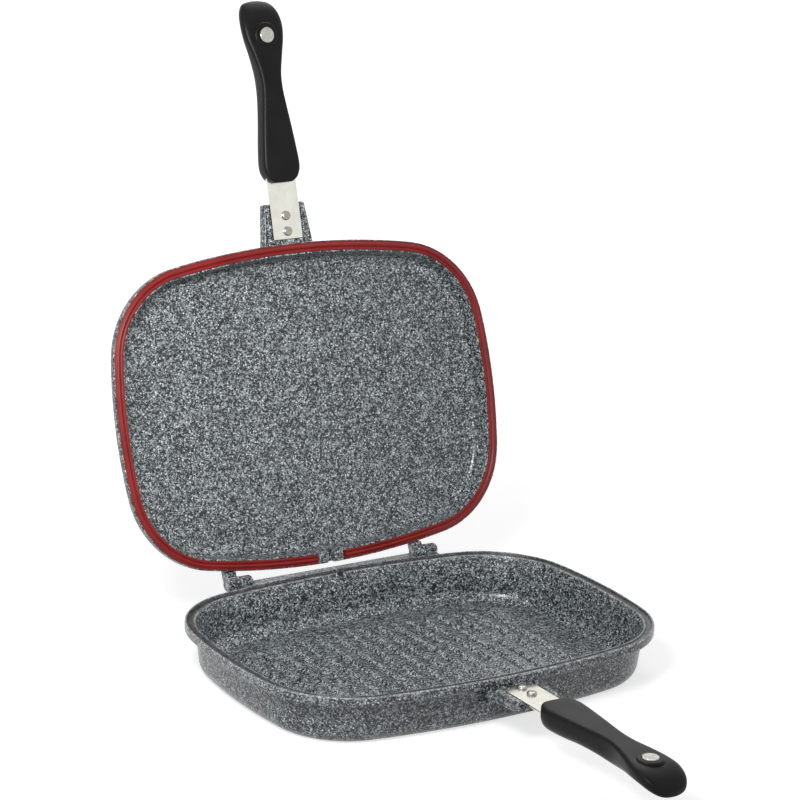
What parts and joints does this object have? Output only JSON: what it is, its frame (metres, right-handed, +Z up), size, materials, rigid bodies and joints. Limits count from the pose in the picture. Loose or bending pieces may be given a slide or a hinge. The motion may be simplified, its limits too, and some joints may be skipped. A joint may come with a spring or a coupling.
{
  "type": "double-sided flip pan",
  "caption": "Rectangular double-sided flip pan: ribbed deep pan and smooth shallow lid, hinged at the back, each with a long handle that meets the other when shut.",
  "frame": {"origin": "centre of the pan's flat underside", "axes": "+Z up, +Y from the handles to the hinge, +X to the right seen from the handles"},
  "size_m": [0.36, 0.6304, 0.4922],
  "materials": {
    "stone_coating": "cast aluminium under a speckled non-stick stone coating, satin",
    "silicone": "matt moulded silicone",
    "phenolic": "matt soft-touch moulding",
    "strap_steel": "brushed",
    "rivet_metal": "satin",
    "pin_steel": "drawn rod",
    "cap_steel": "polished",
    "screw_steel": "zinc-bright",
    "ferrite": "sintered"
  },
  "bodies": {
    "pan": {"pan_body": "stone_coating", "pan_strap": "strap_steel", "pan_rivets": "rivet_metal", "pan_grip": "phenolic", "pan_grip_screw": "screw_steel", "pan_magnet": "ferrite", "pan_magnet_cap": "cap_steel"},
    "lid": {"lid_body": "stone_coating", "lid_seal": "silicone", "left_hinge_pin": "pin_steel", "right_hinge_pin": "pin_steel", "lid_strap": "strap_steel", "lid_rivets": "rivet_metal", "lid_grip": "phenolic", "lid_grip_screw": "screw_steel", "lid_magnet": "ferrite", "lid_magnet_cap": "cap_steel"}
  },
  "joints": [
    {"name": "lid_hinge", "type": "hinge", "parent": "pan", "child": "lid", "pos_m": [0, 0.137, 0.0437], "axis": [1, 0, 0], "range_deg": [0, 107]}
  ]
}
